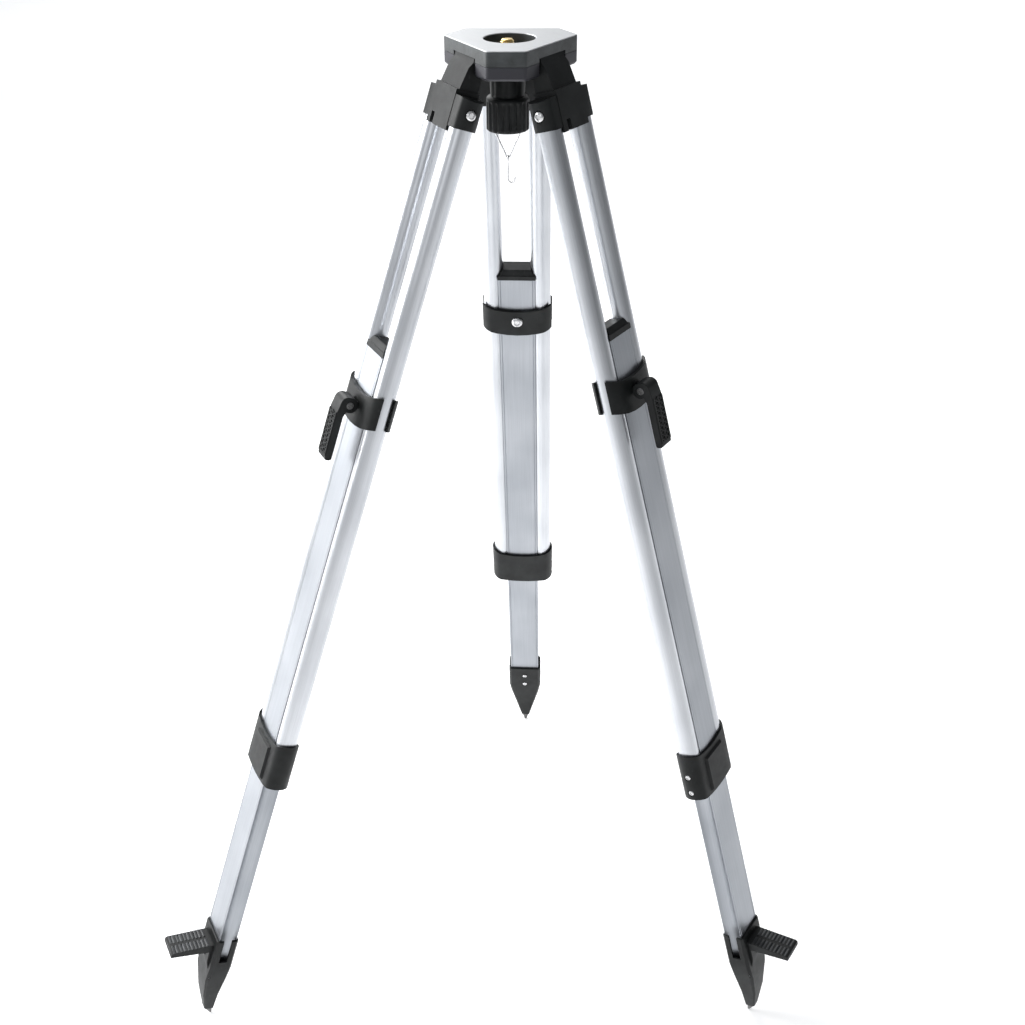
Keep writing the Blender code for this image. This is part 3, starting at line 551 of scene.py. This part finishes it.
def upper_leg(leg, at):
    body = leg + "_upper_leg"
    for tag in ("a", "b"):
        low, high = span(f"{leg}_tube_{tag}", at)
        centre = ((low.x + high.x) / 2, (low.y + high.y) / 2)
        radius = (high.y - low.y) / 2
        bore = radius - TUBE_WALL
        chamfer = 0.0004
        profile = [(bore, low.z), (radius - chamfer, low.z), (radius, low.z + chamfer),
                   (radius, high.z - chamfer), (radius - chamfer, high.z), (bore, high.z)]
        bm = lathe(profile, TUBE_SIDES, centre=centre, loop=True)
        finished(f"{leg}_tube_{tag}_drawn", bm, at, body, "anodised_aluminium",
                 replaces=[f"{leg}_tube_{tag}"])
    low, high = span(leg + "_fitting_bolt", at)
    centre = ((low.x + high.x) / 2, (low.z + high.z) / 2)
    radius = (high.x - low.x) / 2
    height = 0.0035
    profile = dome_head(radius, height, high.y - height, 1, 0.0026)
    profile += [(0.0030, high.y - height), (0.0030, low.y + height)]
    profile += dome_head(radius, height, low.y + height, -1, 0.0026)[::-1]
    finished(leg + "_fitting_bolt_domed", lathe(profile, SCREW_SIDES, "y", centre), at, body, "zinc_steel",
             replaces=[leg + "_fitting_bolt"], sharp=40)
    for tag in ("upper", "lower"):
        screw(f"{leg}_collar_screw_{tag}", at, body, "y")
    for name, width in (("_leg_fitting", 0.0007), ("_lower_collar", 0.0006)):
        own_finish(leg + name, width, "black_plastic")


def screw(node, at, body, axis):
    """Domed screw whose head faces the low end of the axis."""
    low, high = span(node, at)
    index = {"x": 0, "y": 1}[axis]
    other = 1 - index
    centre = ((low[other] + high[other]) / 2, (low.z + high.z) / 2)
    radius = (high[other] - low[other]) / 2
    height = radius * 0.46
    profile = dome_head(radius, height, low[index] + height, -1, radius * 0.36)
    profile += [(radius * 0.46, low[index] + height), (radius * 0.46, high[index]), (0.0, high[index])]
    finished(node + "_domed", lathe(profile, SCREW_SIDES, axis, centre), at, body, "zinc_steel",
             replaces=[node], sharp=40)


def inner_leg(leg, at):
    body = leg + "_inner_leg"
    profile_rod(leg, at, body)
    for name in ("_end_cap", "_clamp_outer", "_clamp_inner", "_foot_shoe"):
        own_finish(leg + name, 0.0006, "black_plastic")
    clamp_bolt(leg, at, body)
    for tag in ("upper", "lower"):
        screw(f"{leg}_foot_screw_{tag}", at, body, "x")
    tread(leg, at, body)
    own_finish(leg + "_foot_tip", 0.0003, "worn_steel")


def profile_rod(leg, at, body):
    """Flat drawn profile with a round channel down each side and a fine groove beside each channel."""
    low, high = span(leg + "_inner_profile", at)
    tube_low, tube_high = span(leg + "_tube_b", at)
    pitch = (tube_low.y + tube_high.y) / 2
    channel = (tube_high.y - tube_low.y) / 2 + 0.0005
    x = (low.x + high.x) / 2
    depth, width = (high.x - low.x) / 2, (high.y - low.y) / 2
    opening = math.degrees(math.acos((pitch - width) / channel))
    right = [(x + channel * math.sin(math.radians(a)), pitch - channel * math.cos(math.radians(a)))
             for a in [opening * (1 - i / 10) for i in range(21)]]
    groove = 0.0006

    def face(sign):
        """Face corners between the channels, with a fine groove near each end, from +y to -y."""
        spots = []
        for end in (1, -1):
            y = end * (width - 0.0030)
            spots += [(x + sign * depth, y + groove), (x + sign * (depth - groove), y),
                      (x + sign * depth, y - groove)]
        return spots

    outline = [(x + depth, width)] + right + [(x - depth, width)] + face(-1)
    outline += [(x - depth, -width)] + [(u, -v) for u, v in reversed(right)] + [(x + depth, -width)]
    outline += face(1)[::-1]
    inside = depth - PROFILE_WALL
    web = pitch - channel - PROFILE_WALL
    hole = [(x + inside, web), (x - inside, web), (x - inside, -web), (x + inside, -web)]
    bm = prism(outline, low.z, high.z, hole=hole)
    finished(leg + "_profile_drawn", bm, at, body, "anodised_aluminium", "inner_aluminium",
             replaces=[leg + "_inner_profile"], sharp=28)


def clamp_bolt(leg, at, body):
    low, high = span(leg + "_clamp_bolt", at)
    pivot = at.inverted() @ Vector(JOINTS[leg + "_lever_turn"]["pos_m"])
    centre = (0.0, pivot.z)
    radius = 0.0080
    height = 0.0039
    seat = low.x + height
    profile = dome_head(radius, height, seat, -1, 0.0030)
    profile += [(0.0040, seat), (0.0040, pivot.x), (0.0, pivot.x)]
    finished(leg + "_clamp_bolt_domed", lathe(profile, 40, "x", centre), at, body, "zinc_steel",
             replaces=[leg + "_clamp_bolt"], sharp=40)
    half = (high.y - low.y) / 2
    barrel = [(0.0, -half), (0.0042, -half), (0.0047, -half + 0.0005), (0.0047, half - 0.0005),
              (0.0042, half), (0.0, half)]
    finished(leg + "_lever_barrel", lathe(barrel, 28, "y", (pivot.x, pivot.z)), at, body, "zinc_steel",
             "worn_steel", sharp=40)


def lever(leg, at):
    """Cam lever: boss round the barrel, arch outward, and a grip with a zigzag lattice."""
    body = leg + "_lever"
    turn = at @ Matrix.Translation(at.inverted() @ Vector(JOINTS[leg + "_lever_turn"]["pos_m"]))
    low, high = span(leg + "_clamp_lever", turn)
    half = high.y
    length = -low.z
    face = high.x - 0.0012
    side = arc((-0.0010, 0), 0.0100, 292, 100, 22)
    side += arc((0.0030, 0.0010), 0.0096, 82, 6, 12)
    side += [(face, -0.010), (face, -length + 0.005)]
    side += arc((face - 0.0030, -length + 0.0030), 0.0030, 0, -90, 5)
    side += arc((0.0085, -length + 0.0030), 0.0030, 270, 180, 5)
    side += [(0.0052, -length + 0.020), (0.0052, -0.016)]
    bm = prism(side, -half + 0.0002, half - 0.0002, "y")
    finished(leg + "_lever_grip", bm, turn, body, "black_plastic",
             replaces=[leg + "_clamp_lever"], sharp=26, bevel=0.0008)
    lattice = bmesh.new()
    rail = 0.0016
    top, foot = -0.0115, -length + 0.0060
    margin = 0.0012
    rib = 0.0013
    for y in (-half + margin, -rail / 2, half - margin - rail):
        box_between(lattice, (face - 0.001, y, foot), (face + LATTICE_RISE, y + rail, top))
    step = (top - foot) / LATTICE_CELLS
    for i in range(LATTICE_CELLS):
        for sign in (-1, 1):
            z = foot + i * step
            y0 = sign * rail / 2
            y1 = sign * (half - margin - rail / 2)
            slanted_rib(lattice, face - 0.001, face + LATTICE_RISE, (y0, z), (y1, z + step), rib)
            slanted_rib(lattice, face - 0.001, face + LATTICE_RISE, (y1, z), (y0, z + step), rib)
    finished(leg + "_lever_lattice", lattice, turn, body, "black_plastic", sharp=30)


def box_between(bm, low, high):
    corners = [(low[0], low[1]), (high[0], low[1]), (high[0], high[1]), (low[0], high[1])]
    prism(corners, low[2], high[2], bm=bm)


def slanted_rib(bm, low_x, high_x, start, end, width):
    """Bar on the y-z face from start to end."""
    along = (Vector(end) - Vector(start)).normalized() * width / 2
    across = Vector((-along.y, along.x))
    corners = [Vector(start) - across, Vector(end) - across, Vector(end) + across, Vector(start) + across]
    prism([tuple(c) for c in corners], low_x, high_x, "x", bm=bm)


def tread(leg, at, body):
    """Two toothed strips along the top of the foot pedal."""
    _, high = span(leg + "_foot_shoe", at)
    tip_low, _ = span(leg + "_foot_tip", at)
    _, profile_high = span(leg + "_inner_profile", at)
    root = profile_high.x + SHOE_WALL
    reach = high.x - 0.0012
    slope = PEDAL_DROP / (reach - root)
    top = tip_low.z + PEDAL_TOP + 0.0004
    pitch = (reach - root - TREAD_MARGIN) / TREAD_TEETH
    bm = bmesh.new()
    for side in (-1, 1):
        near, far = sorted((side * 0.0026, side * 0.0180))
        outline = []
        for i in range(TREAD_TEETH):
            u = root + TREAD_MARGIN + i * pitch
            z = top - (u - root) * slope
            outline += [(u, z - 0.0011), (u + pitch * 0.22, z + 0.0004), (u + pitch * 0.62, z + 0.0003),
                        (u + pitch * 0.84, z - 0.0012)]
        outline += [(reach, top - 0.0130), (root + TREAD_MARGIN, top - 0.0034)]
        prism(outline, near, far, "y", bm=bm)
    finished(leg + "_tread_strips", bm, at, body, "black_plastic", "tread_plastic", sharp=30)


# Stage


CAMERA_FROM_AXIS = Vector((0.082, -1.5765, 1.6583))
CAMERA_YAW, CAMERA_PITCH, CAMERA_ROLL = (math.radians(a) for a in (-4.1675, -30.3835, -0.9327))
LENS = 46.54
SHIFT = (0.0234, 0.0013)


def tripod_axis():
    places = [Vector(JOINTS[leg + "_splay"]["pos_m"]) for leg in LEGS]
    return sum(places, Vector()) / 3


def camera():
    forward = Vector((math.sin(CAMERA_YAW) * math.cos(CAMERA_PITCH),
                      math.cos(CAMERA_YAW) * math.cos(CAMERA_PITCH), math.sin(CAMERA_PITCH)))
    right = Vector((math.cos(CAMERA_YAW), -math.sin(CAMERA_YAW), 0))
    up = right.cross(forward)
    turned_right = math.cos(CAMERA_ROLL) * right + math.sin(CAMERA_ROLL) * up
    turned_up = math.cos(CAMERA_ROLL) * up - math.sin(CAMERA_ROLL) * right
    data = bpy.data.cameras.new("camera")
    data.lens = LENS
    data.sensor_width = 36
    data.shift_x, data.shift_y = SHIFT
    obj = bpy.data.objects.new("camera", data)
    bpy.context.scene.collection.objects.link(obj)
    matrix = Matrix((turned_right, turned_up, -forward)).transposed().to_4x4()
    axis = tripod_axis()
    matrix.translation = Vector((axis.x, axis.y, 0)) + CAMERA_FROM_AXIS
    obj.matrix_world = matrix
    bpy.context.scene.camera = obj


def area_light(name, location, target, size, power, colour=(1, 1, 1)):
    data = bpy.data.lights.new(name, "AREA")
    data.shape = "RECTANGLE"
    data.size, data.size_y = size
    data.energy = power
    data.color = colour
    obj = bpy.data.objects.new(name, data)
    bpy.context.scene.collection.objects.link(obj)
    direction = Vector(target) - Vector(location)
    obj.matrix_world = Matrix.Translation(location) @ direction.to_track_quat("-Z", "Y").to_matrix().to_4x4()


def stage():
    bm = bmesh.new()
    bmesh.ops.create_grid(bm, x_segments=1, y_segments=1, size=12)
    mesh = bpy.data.meshes.new("floor")
    bm.to_mesh(mesh)
    bm.free()
    mesh.materials.append(pale_floor())
    floor = bpy.data.objects.new("floor", mesh)
    floor.location.z = -0.0005
    bpy.context.scene.collection.objects.link(floor)
    world = bpy.data.worlds.new("studio")
    world.use_nodes = True
    background = world.node_tree.nodes["Background"]
    background.inputs["Color"].default_value = (0.93, 0.96, 1.0, 1.0)
    place = world.node_tree.nodes.new("ShaderNodeTexCoord")
    split = world.node_tree.nodes.new("ShaderNodeSeparateXYZ")
    fade = world.node_tree.nodes.new("ShaderNodeMapRange")
    fade.inputs["From Min"].default_value, fade.inputs["From Max"].default_value = -1.0, 1.0
    fade.inputs["To Min"].default_value, fade.inputs["To Max"].default_value = 0.56, 0.16
    world.node_tree.links.new(place.outputs["Generated"], split.inputs["Vector"])
    world.node_tree.links.new(split.outputs["X"], fade.inputs["Value"])
    world.node_tree.links.new(fade.outputs["Result"], background.inputs["Strength"])
    bpy.context.scene.world = world
    area_light("key_left", (-2.4, 0.3, 1.9), (0, 0, 1.0), (1.6, 2.2), 95)
    area_light("back_left", (-1.3, 2.5, 3.0), (-0.2, 0.6, 0.4), (1.9, 2.0), 85)
    area_light("front", (-1.0, -3.2, 2.4), (0, 0, 0.9), (1.6, 1.6), 8)
    area_light("far_floor", (0.0, 7.5, 4.0), (0.0, 7.5, 0.0), (9.0, 5.0), 170)
    bpy.context.scene.view_settings.view_transform = "Standard"


def main():
    head()
    fixing_screw()
    knob()
    plumb_wires()
    for leg in LEGS:
        at = leg_matrix(leg)
        upper_leg(leg, at)
        inner_leg(leg, at)
        lever(leg, at)
        own_finish(leg + "_hinge_pin", 0.0004, "zinc_steel")
    stage()
    camera()


main()
